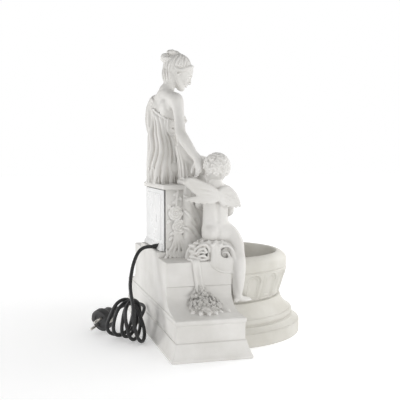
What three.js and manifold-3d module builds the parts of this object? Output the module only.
// A table fountain: a long block with a half-round basin in front, a pedestal with a pump cover,
// a seated woman with a winged child, a flower garland and a mains lead. Millimetres, +Z up.
// The basin faces -Y. The origin is under the middle of the footprint.
import * as THREE from 'three';
import { mergeVertices } from 'three/addons/utils/BufferGeometryUtils.js';
import Module from 'manifold-3d';

const wasm = await Module();
wasm.setup();

// Block, with a ledge at each end
const blockLength = 408;
const blockDepth = 107;
const flare = 10;
const flareTop = 27;
const lipBottom = 54;
const lipTop = 61;
const lipOut = 1.8;
const upperLength = 274;
const upperOverhang = 2;
const grooveHeight = 99;
const upperTop = 137.5;
const ledgeFlat = 14;
const riserFoot = 86;

// Basin on the front of the block
const footRadius = 160;
const footPlinth = 22;
const footTop = 65;
const bowlFootRadius = 122;
const bowlRadius = 137.6;
const bandBottom = 108;
const rimTop = 139;
const rimWidth = 19.6;
const bowlFloor = 80;
const bowlSides = 40;

// Pedestal, seat slab and pump cover
const pedestalLength = 148;
const pedestalDepth = 70;
const pedestalBackSet = 10.5;
const stepHeight = 8.5;
const stepOut = 1;
const pedestalTop = 249;
const slabThickness = 8;
const slabOverhang = 9;
const slabBackOverhang = 3;
const recessDepth = 12;
const recessWall = 2.5;
const coverGap = 1.4;
const coverProud = 1.6;
const panelInset = 14;
const panelProud = 1.2;
const skirtHeight = 9.5;
const skirtOut = 4.4;
const slotWidth = 2.4;
const slotLength = 13.5;
const slotDepth = 3;
const slotFromEdge = 45;
const slotAboveEdge = 44;

// Figures: each keeps its pose as shares of its own height above its seat
const womanHeight = 233;
const womanDrawn = 233;
const womanSeatFromBack = 28;
const childHeight = 172;
const childDrawn = 172;
const childFromEnd = 31;
const childFromFront = 17.5;

// Mains lead, grommet and plug
const cordDiameter = 6;
const cordSides = 8;
const grommetRadius = 5.2;
const grommetLength = 7;
const exitX = -38;
const exitHeight = 151.5;
const hankTurns = 5;
const hankPitch = 8;
const hankRadius = 18.5;
const hankRun = 36;
const hankX = -88;
const hankFromBack = 36;
const plugRadius = 19.5;
const plugLength = 34;
const pinRadius = 2.4;
const pinLength = 19;
const pinSpacing = 19;
const touchGap = 0.3;

// Places worked out from the sizes
const totalDepth = blockDepth + flare + footRadius;
const blockFront = footRadius - totalDepth / 2;
const blockBack = blockFront + blockDepth;
const blockHalf = blockLength / 2;
const upperHalf = upperLength / 2;
const pedestalHalf = pedestalLength / 2;
const pedestalBack = blockBack - pedestalBackSet;
const pedestalFront = pedestalBack - pedestalDepth;
const stepTop = upperTop + stepHeight;
const slabTop = pedestalTop + slabThickness;
const coverHalf = pedestalHalf - recessWall - coverGap;
const coverFace = pedestalBack + coverProud;
const grommetFace = coverFace + skirtOut + grommetLength;

const up = new THREE.Vector3(0, 0, 1);

function solid(geometry) {
  const bare = geometry.clone();
  bare.deleteAttribute('normal');
  bare.deleteAttribute('uv');
  const merged = mergeVertices(bare, 1e-4);
  const place = merged.attributes.position;
  const faces = [];
  let volume = 0;
  const a = new THREE.Vector3();
  const b = new THREE.Vector3();
  const c = new THREE.Vector3();
  for (let i = 0; i < merged.index.count; i += 3) {
    const [p, q, r] = [0, 1, 2].map((k) => merged.index.getX(i + k));
    if (p === q || q === r || r === p) continue;
    faces.push(p, q, r);
    a.fromBufferAttribute(place, p);
    b.fromBufferAttribute(place, q);
    c.fromBufferAttribute(place, r);
    volume += a.dot(b.cross(c));
  }
  const triVerts = Uint32Array.from(volume < 0 ? faces.reverse() : faces);
  const vertProperties = Float32Array.from(place.array);
  return new wasm.Manifold(new wasm.Mesh({ numProp: 3, vertProperties, triVerts }));
}

function geometryOf(body) {
  const mesh = body.getMesh();
  const geometry = new THREE.BufferGeometry();
  geometry.setAttribute('position', new THREE.BufferAttribute(mesh.vertProperties, 3));
  geometry.setIndex(new THREE.BufferAttribute(mesh.triVerts, 1));
  return geometry;
}

function box(x0, x1, y0, y1, z0, z1) {
  const geometry = new THREE.BoxGeometry(x1 - x0, y1 - y0, z1 - z0);
  return solid(geometry.translate((x0 + x1) / 2, (y0 + y1) / 2, (z0 + z1) / 2));
}

// A closed skin through rings of points that all have the same count
function skin(rings) {
  const count = rings[0].length;
  const points = [];
  const faces = [];
  for (const ring of rings) for (const p of ring) points.push(p.x, p.y, p.z);
  for (let i = 0; i < rings.length - 1; i += 1) {
    for (let k = 0; k < count; k += 1) {
      const here = i * count + k;
      const next = i * count + ((k + 1) % count);
      faces.push(here, next, next + count, here, next + count, here + count);
    }
  }
  for (const [ring, turn] of [[0, true], [rings.length - 1, false]]) {
    const middle = points.length / 3;
    const centre = new THREE.Vector3();
    for (const p of rings[ring]) centre.addScaledVector(p, 1 / count);
    points.push(centre.x, centre.y, centre.z);
    for (let k = 0; k < count; k += 1) {
      const here = ring * count + k;
      const next = ring * count + ((k + 1) % count);
      faces.push(...(turn ? [middle, next, here] : [middle, here, next]));
    }
  }
  const geometry = new THREE.BufferGeometry();
  geometry.setAttribute('position', new THREE.Float32BufferAttribute(points, 3));
  geometry.setIndex(faces);
  return solid(geometry);
}

// A moulding round a rectangle: each step is [height, outward offset]
function moulding(xHalf, yFront, yBack, steps) {
  return skin(steps.map(([z, out]) => [
    new THREE.Vector3(-xHalf - out, yFront - out, z),
    new THREE.Vector3(xHalf + out, yFront - out, z),
    new THREE.Vector3(xHalf + out, yBack + out, z),
    new THREE.Vector3(-xHalf - out, yBack + out, z),
  ]));
}

// A round limb through stations [x, y, z, radius]
function limb(stations, sides = 8) {
  const points = stations.map(([x, y, z]) => new THREE.Vector3(x, y, z));
  const rings = [];
  let side = null;
  for (let i = 0; i < points.length; i += 1) {
    const before = points[Math.max(i - 1, 0)];
    const after = points[Math.min(i + 1, points.length - 1)];
    const along = after.clone().sub(before).normalize();
    if (!side) side = new THREE.Vector3(0.31, -0.29, 0.9).cross(along).normalize();
    side = side.clone().addScaledVector(along, -side.dot(along)).normalize();
    const other = along.clone().cross(side);
    const radius = stations[i][3];
    rings.push(Array.from({ length: sides }, (_, k) => {
      const angle = (k / sides) * 2 * Math.PI;
      return points[i].clone()
        .addScaledVector(side, radius * Math.cos(angle))
        .addScaledVector(other, radius * Math.sin(angle));
    }));
  }
  return skin(rings);
}

// An upright form through stations [x, y, z, half width, half depth], pleated by folds
function column(stations, turn, sides, folds = 0, pleat = 0, lean = 0) {
  const c = Math.cos(turn);
  const s = Math.sin(turn);
  return skin(stations.map(([x, y, z, wide, deep], i) => (
    Array.from({ length: sides }, (_, k) => {
      const angle = (k / sides) * 2 * Math.PI;
      const fade = Math.min(1, (stations.length - 1 - i) / 3);
      const swell = 1 + pleat * fade * Math.cos(folds * angle + lean * i);
      const p = wide * swell * Math.cos(angle);
      const q = deep * swell * Math.sin(angle);
      return new THREE.Vector3(x + c * p - s * q, y + s * p + c * q, z);
    })
  )));
}

function egg(x, y, z, rx, ry, rz, wide = 10, high = 7, tilt = 0) {
  const geometry = new THREE.SphereGeometry(1, wide, high).rotateX(Math.PI / 2);
  return solid(geometry.scale(rx, ry, rz).rotateX(tilt).translate(x, y, z));
}

// A turned form about the basin's upright axis: profile points are [radius, height]
function turned(profile, sides) {
  const points = profile.map(([r, z]) => new THREE.Vector2(r, z));
  const geometry = new THREE.LatheGeometry(points, sides).rotateX(Math.PI / 2);
  return solid(geometry.translate(0, blockFront, 0));
}

function join(parts) {
  return parts.reduce((whole, part) => whole.add(part));
}

function block() {
  const foot = moulding(blockHalf, blockFront, blockBack, [
    [0, flare], [4, flare], [12, flare * 0.58], [flareTop - 3, 2.4], [flareTop, 2.2],
  ]);
  const body = box(-blockHalf, blockHalf, blockFront, blockBack, flareTop - 1, lipBottom + 2);
  const lip = moulding(blockHalf, blockFront, blockBack, [
    [lipBottom, lipOut * 0.5], [lipBottom + 1.2, lipOut], [lipTop - 1.5, lipOut], [lipTop, lipOut * 0.4],
  ]);
  const riser = upperHalf - upperOverhang;
  const reach = blockHalf - ledgeFlat - riser;
  const rise = riserFoot - lipTop;
  const outline = new THREE.Shape();
  outline.moveTo(-blockHalf, lipBottom);
  outline.lineTo(-blockHalf, lipTop + 0.5);
  const hollow = (t) => [reach - reach * Math.sin(t), riserFoot - rise * Math.cos(t)];
  const steps = 8;
  for (let i = 0; i <= steps; i += 1) {
    const [out, z] = hollow((i / steps) * (Math.PI / 2));
    outline.lineTo(-riser - out, z + 0.5);
  }
  outline.lineTo(-riser, grooveHeight + 1);
  outline.lineTo(riser, grooveHeight + 1);
  for (let i = steps; i >= 0; i -= 1) {
    const [out, z] = hollow((i / steps) * (Math.PI / 2));
    outline.lineTo(riser + out, z + 0.5);
  }
  outline.lineTo(blockHalf, lipTop + 0.5);
  outline.lineTo(blockHalf, lipBottom);
  outline.closePath();
  const ledge = new THREE.ExtrudeGeometry(outline, { depth: blockDepth, bevelEnabled: false, steps: 1 });
  ledge.rotateX(Math.PI / 2).translate(0, blockBack, 0);
  const upper = box(-upperHalf, upperHalf, blockFront, blockBack, grooveHeight, upperTop);
  return join([foot, body, lip, solid(ledge), upper]);
}

function basin() {
  const foot = turned([
    [0, 0], [footRadius, 0], [footRadius, footPlinth], [footRadius - 3, footPlinth + 2.4],
    [148, 28], [145, 33], [146.6, 38], [144, 43], [135, 49], [127, 58], [bowlFootRadius + 3, footTop], [0, footTop],
  ], bowlSides);
  const bowl = turned([
    [0, footTop - 1], [bowlFootRadius, footTop - 1], [126.5, 78], [131.5, 92], [135, bandBottom - 3],
    [bowlRadius, bandBottom], [bowlRadius, rimTop - 13], [bowlRadius - 3, rimTop - 7.5],
    [bowlRadius - 9, rimTop - 2], [bowlRadius - rimWidth + 3, rimTop], [0, rimTop],
  ], bowlSides);
  const inner = bowlRadius - rimWidth;
  const hollow = turned([
    [0, bowlFloor], [inner - 44, bowlFloor + 1], [inner - 22, bowlFloor + 6], [inner - 9, bowlFloor + 20],
    [inner - 3, bowlFloor + 40], [inner, rimTop - 1.5], [inner + 1, rimTop + 1], [0, rimTop + 1],
  ], bowlSides);
  const front = box(-footRadius * 2, footRadius * 2, blockFront - footRadius * 2, blockFront + 1, -1, rimTop + 20);
  return foot.add(bowl).subtract(hollow).intersect(front);
}

function pedestal() {
  const step = box(
    -pedestalHalf - stepOut, pedestalHalf + stepOut, pedestalFront - stepOut, blockBack, upperTop - 1, stepTop,
  );
  const shaft = box(-pedestalHalf, pedestalHalf, pedestalFront, pedestalBack, stepTop - 1, pedestalTop + 1);
  const slab = moulding(
    pedestalHalf + slabOverhang, pedestalFront - slabOverhang, pedestalBack + slabBackOverhang,
    [[pedestalTop, -1.2], [pedestalTop + 1.2, 0], [slabTop - 1.6, 0], [slabTop, -1.4]],
  );
  return step.add(shaft).add(slab);
}

// The seat of the pump cover, open to the back
function recess() {
  return box(
    -pedestalHalf + recessWall, pedestalHalf - recessWall, pedestalBack - recessDepth, pedestalBack + 1,
    stepTop, pedestalTop,
  );
}

// The seated woman, in millimetres of the drawn height about the middle of her seat
function woman() {
  const k = womanHeight / womanDrawn;
  const seatY = pedestalBack - womanSeatFromBack;
  const at = ([x, y, z, ...sizes]) => [x * k, seatY + y * k, slabTop + z * k, ...sizes.map((r) => r * k)];
  const part = (stations, sides) => limb(stations.map(at), sides);
  const ball = (x, y, z, rx, ry, rz, tilt = 0) => egg(...at([x, y, z, rx, ry, rz]), 10, 7, tilt);
  const gown = column([
    [5, 6, -0.5, 39, 29], [4, 7, 7, 38, 28.5], [4, 7, 18, 37, 28], [5, 9, 33, 35, 27], [6, 10, 48, 32, 25],
    [7, 12, 66, 28.5, 22], [8, 13, 81, 27, 20.5], [7, 10, 93, 27, 20.5], [5, 5, 108, 28, 21.5],
    [3, 6, 123, 31, 20], [2, 8, 135, 32, 16], [1, 7.5, 145, 24, 13], [2, 6.5, 154, 13, 12],
  ].map(at), 0.33, 28, 9, 0.045, 0.22);
  const mantle = column([
    [16, -58, 34, 24, 14], [16, -64, 26, 33, 23], [16, -66, 0, 35, 26], [16, -65, -40, 36, 27],
    [16, -63, -80, 39, 28], [16, -61, -101, 42, 29],
  ].reverse().map(at), 0, 22, 7, 0.05, 0.3);
  const rock = column([
    [16, -52, -150, 14, 20], [16, -55, -135, 38, 32], [16, -60, -118, 50, 42], [16, -62, -104, 50, 42],
    [16, -62, -97, 44, 36],
  ].map(at), 0, 18);
  return join([
    gown, mantle, rock,
    part([[2, 6, 148, 13], [2.5, 3, 164, 10.6], [3.5, -3, 182, 10.5]]),
    part([[33, 19, 141, 11], [18, 14, 148, 9.5], [2, 8, 152, 9.5], [-16, 2, 149, 9.5], [-31, -2, 143, 10.5]]),
    ball(4, -9, 195.5, 20, 26, 24.5, 0.25),
    ball(4, -20.5, 181, 14, 14.5, 20, 0.3),
    ball(4, -33.5, 175, 2.6, 4.4, 5.5, 0.3),
    ball(5, -8, 221.5, 10.5, 11, 10),
    ball(5, 8, 218.5, 6.5, 7, 6.5),
    part([[5, 4, 104, 8], [-1, -20, 112, 11], [0, -22, 108, 10], [0, -30, 108, 3]]),
    part([[5, 4, 104, 8], [15, -18, 112, 11], [17, -20, 108, 10], [19, -27, 108, 3]]),
    ball(6, -12, 108, 12, 12, 8),
    part([
      [-24, 1, 147, 8], [-32, -2.5, 141, 12.5], [-45, -2.6, 112, 10.5], [-60, -3, 85, 9.3],
      [-74, -14, 62, 8.3], [-88, -25, 40, 5.6],
    ]),
    part([[-86, -24, 42, 5], [-94, -27, 30, 7], [-100, -31, 18, 5], [-103, -33, 10, 2.5]]),
    part([
      [26, 15, 146, 8], [34, 20, 141, 13.5], [41, 27, 120, 14.5], [43, 26, 95, 13], [40, 2, 74, 10],
      [30, -26, 56, 7], [20, -44, 47, 5.5], [12, -52, 42, 3],
    ]),
    part([[-12, 4, 24, 20], [-14, -6, 25, 23], [-8, -42, 28, 19], [-2, -76, 27, 15.5], [-1, -84, 26, 8]], 10),
    part([[18, 8, 24, 20], [20, 0, 25, 22], [28, -40, 28, 19], [34, -74, 27, 15.5], [35, -82, 26, 8]], 10),
    part([[8, -70, -92, 7], [9, -88, -92, 6.5], [10, -100, -94, 4.5], [10, -104, -95, 2]]),
    part([[26, -70, -92, 7], [27, -90, -92, 6.5], [28, -102, -94, 4.5], [28, -106, -95, 2]]),
    part([[-52, -8, 2, 6], [-72, -9, 1.5, 7], [-79, -10, -6, 8.5], [-78, -10, -34, 9], [-78, -11, -80, 9],
      [-77, -10, -120, 10.5]]),
    part([[-46, -22, 4, 9], [-64, -25, 2, 12], [-74, -26, -14, 13], [-72, -24, -50, 14], [-70, -22, -90, 13],
      [-70, -24, -120, 15]]),
  ]);
}

// A feathered wing as a flat plate: outline points are [along the block's depth, height] in the child's frame
function wing(outline, x, thickness, at) {
  const shape = new THREE.Shape(outline.map(([y, z]) => {
    const [, ay, az] = at([0, y, z]);
    return new THREE.Vector2(ay, az);
  }));
  const [ax, , , thick] = at([x, 0, 0, thickness]);
  const geometry = new THREE.ExtrudeGeometry(shape, { depth: thick, bevelEnabled: false, steps: 1 });
  geometry.rotateX(Math.PI / 2).rotateZ(Math.PI / 2);
  return solid(geometry.translate(ax, 0, 0));
}

// The winged child on a heap of cloth at the near end of the block's top
function child() {
  const k = childHeight / childDrawn;
  const seatX = -upperHalf + childFromEnd;
  const seatY = blockFront + childFromFront;
  const at = ([x, y, z, ...sizes]) => [
    seatX + x * k, seatY + y * k, upperTop + z * k, ...sizes.map((r) => r * k),
  ];
  const part = (stations, sides) => limb(stations.map(at), sides);
  const ball = (x, y, z, rx, ry, rz, wide = 10, high = 7) => egg(...at([x, y, z, rx, ry, rz]), wide, high);
  const torso = column([
    [-1, 1, 26, 17, 13], [-1, 1.5, 34, 22, 16.5], [-1, 1.5, 46, 22.5, 17], [-1, 1, 58, 20.5, 15.5],
    [-1, 1.5, 70, 19.5, 14.5], [-1, 1, 84, 20, 14.5], [-1, 1, 98, 21, 14.5], [-1, 1, 110, 20.5, 13],
    [-1, 1.5, 119, 15, 11], [-1, 2, 127, 9.5, 9],
  ].map(at), 1.302, 16);
  const cloth = column([
    [4, 9, -0.5, 36, 33], [3, 9, 8, 35, 32], [2, 9, 17, 32, 28], [2, 7, 25, 26, 24], [2, 5, 31, 16, 14],
  ].map(at), Math.PI / 2, 20, 6, 0.06, 0.5);
  return join([
    torso, cloth,
    ball(-9, 11.5, 42, 11, 13.5, 14.5),
    ball(-9, -8.5, 42.5, 11, 13.5, 14.5),
    part([[-2, 2, 118, 9.5], [-1, 1, 134, 9]]),
    ball(0, 0.5, 150, 21, 22, 21.5, 14, 9),
    part([[2, -8, 116, 8], [2, -15, 112, 9], [8, -26, 84, 6.6], [12, -27, 74, 6.2], [34, -18, 72, 5]]),
    part([[2, 10, 116, 8], [2, 18, 112, 9], [18, 24, 88, 6.6], [36, 14, 80, 5]]),
    part([[4, -4, 46, 14], [0, -12, 45, 16], [-9, -23, 39, 13.8], [-18, -30, 26, 11.8], [-22, -30, 16, 10.5],
      [-35, -29, -12, 8.8], [-33, -29.5, -44, 6.2], [-26, -28, -64, 6.4], [-24, -27, -69, 4]], 10),
    part([[-27, -24, -66, 4.5], [-25, -31, -66.5, 5.5], [-23, -39, -68, 4.6], [-23, -43, -69, 2]]),
    part([[2, 6, 44, 14], [8, 12, 44, 15], [40, 8, 46, 11.5], [47, 2, 34, 9], [48, -4, 4, 6.5], [48, -4, -1, 6]]),
    wing([[5, 12], [-2, 16], [-12, 19], [-17, 17], [-22, 11.5], [-28, 4], [-32, -1.5], [-36, -17],
      [-31, -19], [-22, -17], [-12, -17], [0, -9]].map(([y, z]) => [y, z + 100.5]), -20, 6, at),
    wing([[4, 12], [20, 17.5], [32, 25.5], [45, 31.5], [57, 33.5], [64, 27.5], [60, 18], [47, 9], [53, 3],
      [58, -5.5], [44, -8.5], [25, -9.5], [11, -3.5]].map(([y, z]) => [y, z + 100.5]), -20, 6, at),
    part([[-6, 6, 108, 6], [-17, 4, 103, 8], [-19, 3, 96, 5]]),
    ball(-12, 25, 13, 7, 9, 9, 10, 6),
    ball(-24, -11, 9.5, 7, 8, 9, 10, 6),
    ball(-22, 7, 14, 5, 7, 11, 10, 6),
    part([[-8, -16, 22, 6], [-26, -18, 14, 5], [-33, -25, 3, 4.5], [-34.5, -23.5, -10, 4], [-33, -20, -20, 2.5]]),
  ]);
}

// A sash over the block's edge and the heap of flowers that it ends in, on the ledge
function garland() {
  const face = -upperHalf;
  const middle = (blockFront + blockBack) / 2;
  const sash = [-3.4, 3.4].map((shift) => limb([
    [face + 22, middle + 10 + shift, upperTop + 1, 3.4], [face + 6, middle + 9 + shift, upperTop + 1.4, 3.6],
    [face - 0.4, middle + 7.5 + shift, upperTop - 2, 3.8], [face - 0.2, middle + 2 + shift, upperTop - 16, 3.8],
    [face - 0.2, middle - 6 + shift, grooveHeight - 2, 4], [face - 5, middle - 7 + shift, riserFoot, 4],
  ], 8));
  const heap = egg(face + 2, middle - 3, lipTop + 2, 45, 31, 25, 14, 9);
  const flowers = [];
  const flowerCount = 18;
  const golden = Math.PI * (3 - Math.sqrt(5));
  for (let i = 0; i < flowerCount; i += 1) {
    const spread = Math.sqrt((i + 0.5) / flowerCount);
    const angle = i * golden;
    const x = spread * Math.cos(angle);
    const y = spread * Math.sin(angle);
    if (x > 0.12) continue;
    const height = Math.sqrt(Math.max(0, 1 - x * x - y * y));
    const flower = new THREE.OctahedronGeometry(6.2, 1).scale(1, 1, 0.8).rotateZ(angle);
    flower.translate(face + 2 + 44 * x, middle - 3 + 30 * y, lipTop + 2.5 + 23 * height);
    flowers.push(solid(flower));
  }
  const leaf = limb([
    [face - 20, blockFront + 26, lipTop + 3, 4], [face - 30, blockFront + 17, lipTop + 3, 3.4],
    [face - 33, blockFront + 12, lipTop + 2.4, 1.4],
  ], 6);
  return join([...sash, heap, ...flowers, leaf]);
}

// Roses, a ribbon and leaves on the pedestal's near face
function roses() {
  const face = -pedestalHalf;
  const y = pedestalBack - 20;
  const bloom = (dy, z, r) => {
    const head = new THREE.SphereGeometry(1, 10, 6).rotateZ(Math.PI / 2).scale(5.5, r, r);
    return solid(head.translate(face - 0.5, y + dy, z));
  };
  return join([
    bloom(3, stepTop + 60, 11), bloom(-5, stepTop + 42, 11),
    limb([[face, y, pedestalTop - 2, 3.5], [face - 1, y + 3, pedestalTop - 18, 3], [face - 1, y, stepTop + 62, 3]], 6),
    limb([[face - 1, y, stepTop + 44, 3], [face - 2, y - 2, stepTop + 20, 3], [face - 5, y + 4, upperTop, 5]], 6),
    limb([[face - 1, y, stepTop + 40, 3], [face - 2, y + 6, stepTop + 16, 3], [face - 6, y + 12, upperTop, 4.5]], 6),
    limb([[face - 1, y - 3, stepTop + 36, 3], [face - 3, y - 7, stepTop + 14, 4], [face - 9, y - 8, upperTop, 6]], 6),
  ]);
}

function casting() {
  const whole = join([block(), basin(), pedestal(), woman(), child(), garland(), roses()]);
  const below = box(-blockLength, blockLength, -totalDepth, totalDepth, -50, 0);
  const notch = box(
    exitX - grommetRadius - 1, exitX + grommetRadius + 1, pedestalBack - recessDepth - 4, blockBack + 1,
    stepTop - 1.6, stepTop + 1,
  );
  return whole.subtract(below).subtract(recess()).subtract(notch);
}

function pumpCover() {
  const z0 = stepTop + coverGap;
  const z1 = pedestalTop - coverGap;
  const back = pedestalBack - recessDepth + touchGap;
  const plate = box(-coverHalf, coverHalf, back, coverFace, z0, z1);
  const panel = box(
    -coverHalf + panelInset, coverHalf - panelInset, coverFace - 1, coverFace + panelProud,
    z0 + skirtHeight + panelInset / 2, z1 - panelInset / 2,
  );
  const skirt = box(-coverHalf, coverHalf, coverFace - 1, coverFace + skirtOut, z0, z0 + skirtHeight);
  const slot = box(
    -coverHalf + slotFromEdge, -coverHalf + slotFromEdge + slotWidth, coverFace + panelProud - slotDepth,
    coverFace + panelProud + 1, z0 + slotAboveEdge, z0 + slotAboveEdge + slotLength,
  );
  const hole = solid(new THREE.CylinderGeometry(grommetRadius + touchGap, grommetRadius + touchGap, 60, 20)
    .translate(exitX, coverFace, exitHeight));
  return plate.add(panel).add(skirt).subtract(slot).subtract(hole);
}

function grommet() {
  const length = grommetFace - (pedestalBack - recessDepth) - 1;
  const barrel = new THREE.CylinderGeometry(grommetRadius - 1.2, grommetRadius, length, 20);
  return solid(barrel.translate(exitX, grommetFace - length / 2, exitHeight));
}

const hankAcross = new THREE.Vector3(0.94, 0.34, 0).normalize();
const hankSide = up.clone().cross(hankAcross);
const hankHeight = hankRadius * 2 + hankRun + cordDiameter;
const hankStart = new THREE.Vector3(hankX, blockBack + hankFromBack, hankHeight / 2);
const hankDeep = hankTurns * hankPitch + cordDiameter;

// The lead's bundle as one closed outline with round ends
function hank() {
  const reach = hankRadius + cordDiameter / 2;
  const outline = new THREE.Shape();
  const half = hankHeight / 2 - reach;
  outline.absarc(0, half, reach, 0, Math.PI, false);
  outline.absarc(0, -half, reach, Math.PI, 2 * Math.PI, false);
  outline.closePath();
  const geometry = new THREE.ExtrudeGeometry(outline, {
    depth: hankDeep, bevelEnabled: false, steps: 1, curveSegments: 12,
  });
  const frame = new THREE.Matrix4().makeBasis(hankSide, up, hankAcross);
  const start = hankStart.clone().addScaledVector(hankAcross, -cordDiameter / 2);
  return solid(geometry.applyMatrix4(frame).translate(start.x, start.y, start.z));
}

function cordTube(points, steps) {
  const curve = new THREE.CatmullRomCurve3(points.map((p) => new THREE.Vector3(...p)), false, 'centripetal');
  const ring = new THREE.Shape();
  for (let i = 0; i < cordSides; i += 1) {
    const angle = (i / cordSides) * 2 * Math.PI;
    const x = (cordDiameter / 2) * Math.cos(angle);
    const y = (cordDiameter / 2) * Math.sin(angle);
    if (i) ring.lineTo(x, y);
    else ring.moveTo(x, y);
  }
  ring.closePath();
  return solid(new THREE.ExtrudeGeometry(ring, { steps, extrudePath: curve, bevelEnabled: false }));
}

// From the grommet down to the top of the bundle
const leadPoints = [
  [exitX, grommetFace + touchGap, exitHeight], [exitX, grommetFace + 4, exitHeight], [-39.5, 142, 152.2], [-43, 149, 150.5], [-48, 156, 145.5],
  [-54, 163, 135], [-61, 168.5, 122], [-68, 172.5, 108], [-74, 174, 96], [-77.5, 173.5, 86], [-79, 172.5, 79.6],
];

const plugFace = new THREE.Vector3(1, blockBack + 86.5, 20.5);
const plugOut = new THREE.Vector3(-0.614, 0.741, -0.274).normalize();
const plugRear = plugFace.clone().addScaledVector(plugOut, -plugLength);
const reliefEnd = plugRear.clone().addScaledVector(plugOut, -16);

// From the plug's strain relief to the side of the bundle
const tailStart = reliefEnd.clone().addScaledVector(plugOut, -touchGap);
const tailPoints = [
  tailStart.toArray(), tailStart.clone().addScaledVector(plugOut, -5).toArray(), [39.5, 164, 39.5], [40, 156, 41.5], [33, 148, 42], [18, 143.5, 42], [4, 146, 41],
  [-10, 152, 40], [-22, 158.5, 39], [-33.5, 165.8, 38],
];

// Turns a form drawn along +Z so that +Z points along the plug's face
function aimed(geometry, from) {
  const turn = new THREE.Quaternion().setFromUnitVectors(up, plugOut);
  return geometry.applyQuaternion(turn).translate(from.x, from.y, from.z);
}

function plugBody() {
  const profile = [
    [0, 0], [cordDiameter / 2 + 1, 0], [cordDiameter / 2 + 2.4, 15], [cordDiameter / 2 + 4, 17],
    [plugRadius * 0.66, 21], [plugRadius * 0.74, 33], [plugRadius * 0.94, 36], [plugRadius, 38],
    [plugRadius, 48.5], [plugRadius - 1.2, 50], [0, 50],
  ].map(([r, z]) => new THREE.Vector2(r, z));
  const body = new THREE.LatheGeometry(profile, 20).rotateX(Math.PI / 2);
  return solid(aimed(body, reliefEnd));
}

function plugPin(sign) {
  const pin = new THREE.CylinderGeometry(pinRadius, pinRadius, pinLength, 12).rotateX(Math.PI / 2);
  pin.translate(0, sign * pinSpacing / 2, pinLength / 2 + touchGap);
  return solid(aimed(pin, plugFace));
}

const looks = {
  cast: { color: 0xe9e7e2, roughness: 0.62, metalness: 0 },
  plastic: { color: 0xf2f2f0, roughness: 0.25, metalness: 0 },
  rubber: { color: 0x151515, roughness: 0.5, metalness: 0 },
  metal: { color: 0xc9c6bd, roughness: 0.3, metalness: 1 },
};

const group = new THREE.Group();

function add(name, body, look) {
  const mesh = new THREE.Mesh(geometryOf(body), new THREE.MeshStandardMaterial(looks[look]));
  mesh.name = name;
  group.add(mesh);
}

add('fountain_casting', casting(), 'cast');
add('pump_cover', pumpCover(), 'plastic');
add('cord_grommet', grommet(), 'rubber');
add('cord_lead', cordTube(leadPoints, 16), 'rubber');
add('cord_hank', hank(), 'rubber');
add('cord_tail', cordTube(tailPoints, 12), 'rubber');
add('plug_body', plugBody(), 'rubber');
add('plug_pin_1', plugPin(-1), 'metal');
add('plug_pin_2', plugPin(1), 'metal');

export default group;
